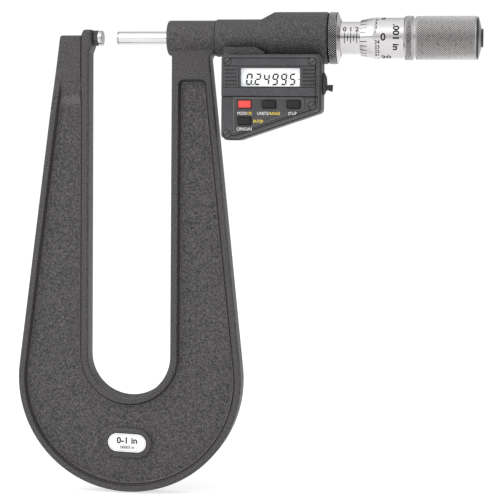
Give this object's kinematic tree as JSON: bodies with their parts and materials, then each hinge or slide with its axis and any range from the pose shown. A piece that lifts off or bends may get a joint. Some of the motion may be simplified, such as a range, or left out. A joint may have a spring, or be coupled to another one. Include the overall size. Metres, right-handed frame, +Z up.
{
  "type": "outside micrometer",
  "caption": "Digital outside micrometer on a deep U-shaped cast frame, with a display housing under the barrel, graduated sleeve and thimble, and a knurled friction thimble.",
  "frame": {"origin": "centre of the anvil's measuring face, on the spindle axis", "axes": "+X along the spindle axis away from the anvil towards the thimble, +Z up with the U-shaped frame hanging down, -Y towards the person who reads the display"},
  "size_m": [0.1963, 0.0304, 0.205],
  "materials": {
    "casting": "crackle charcoal enamel",
    "head_paint": "crackle charcoal enamel",
    "housing": "fine-textured charcoal",
    "rubber": "matte",
    "satin_steel": "satin chrome",
    "polished_steel": "polished",
    "carbide": "lapped",
    "plate": "satin",
    "black": "matte",
    "dark_steel": "blackened",
    "bronze": "turned",
    "board": "matte",
    "window": "clear",
    "display": "pale grey display",
    "red_key": "matte red",
    "key": "matte"
  },
  "bodies": {
    "body": {"frame": "casting", "name_plate": "plate", "anvil_collar": "dark_steel", "anvil": "polished_steel", "anvil_tip": "carbide", "front_bushing": "bronze", "head_barrel": "head_paint", "encoder_stator": "board", "sleeve": "satin_steel", "lock_collet": "dark_steel", "spindle_nut": "bronze", "adjusting_nut": "dark_steel", "rear_shell": "housing", "front_cover": "housing", "lcd_window": "window", "lcd_panel": "display", "circuit_board": "board", "keypad_panel": "housing", "cover_screw_1": "dark_steel", "cover_screw_2": "dark_steel", "cover_screw_3": "dark_steel", "cover_screw_4": "dark_steel", "battery": "satin_steel", "battery_contact": "bronze", "data_port": "black"},
    "encoder_rotor": {"encoder_rotor": "bronze"},
    "spindle_group": {"spindle": "polished_steel", "spindle_tip": "carbide", "thimble": "satin_steel"},
    "friction_group": {"friction_thimble": "satin_steel", "friction_spring": "dark_steel", "end_screw": "dark_steel", "end_cap": "satin_steel", "end_button": "black"},
    "lock_ring": {"lock_ring": "dark_steel"},
    "button_shift": {"button_shift": "red_key"},
    "button_units": {"button_units": "key"},
    "button_hold": {"button_hold": "key"},
    "button_zero": {"button_zero": "key"},
    "battery_cap": {"battery_cap": "housing"},
    "port_plug": {"port_plug": "rubber"}
  },
  "joints": [
    {"name": "spindle_turn", "type": "hinge", "parent": "body", "child": "encoder_rotor", "pos_m": [0.05, 0, 0], "axis": [1, 0, 0], "range_deg": [-3600, 10800]},
    {"name": "spindle_feed", "type": "slide", "parent": "encoder_rotor", "child": "spindle_group", "axis": [1, 0, 0], "range_m": [-0.00635, 0.01905]},
    {"name": "friction_thimble_slip", "type": "hinge", "parent": "spindle_group", "child": "friction_group", "pos_m": [0.145, 0, 0], "axis": [1, 0, 0], "continuous": true},
    {"name": "lock_ring_turn", "type": "hinge", "parent": "body", "child": "lock_ring", "pos_m": [0.099, 0, 0], "axis": [1, 0, 0], "range_deg": [0, 35]},
    {"name": "button_shift_press", "type": "slide", "parent": "body", "child": "button_shift", "axis": [0, 1, 0], "range_m": [0, 0.0005], "stiffness_N_per_m": 2000},
    {"name": "button_units_press", "type": "slide", "parent": "body", "child": "button_units", "axis": [0, 1, 0], "range_m": [0, 0.0005], "stiffness_N_per_m": 2000},
    {"name": "button_hold_press", "type": "slide", "parent": "body", "child": "button_hold", "axis": [0, 1, 0], "range_m": [0, 0.0005], "stiffness_N_per_m": 2000},
    {"name": "button_zero_press", "type": "slide", "parent": "body", "child": "button_zero", "axis": [0, 1, 0], "range_m": [0, 0.0005], "stiffness_N_per_m": 2000},
    {"name": "battery_cap_off", "type": "slide", "parent": "body", "child": "battery_cap", "axis": [0, 1, 0], "range_m": [0, 0.012]},
    {"name": "port_plug_pull", "type": "slide", "parent": "body", "child": "port_plug", "axis": [1, 0, 0], "range_m": [0, 0.012]}
  ],
  "couplings": [
    {"joint": "spindle_turn", "follows": "spindle_feed", "rad_per_m": 9894.7}
  ]
}
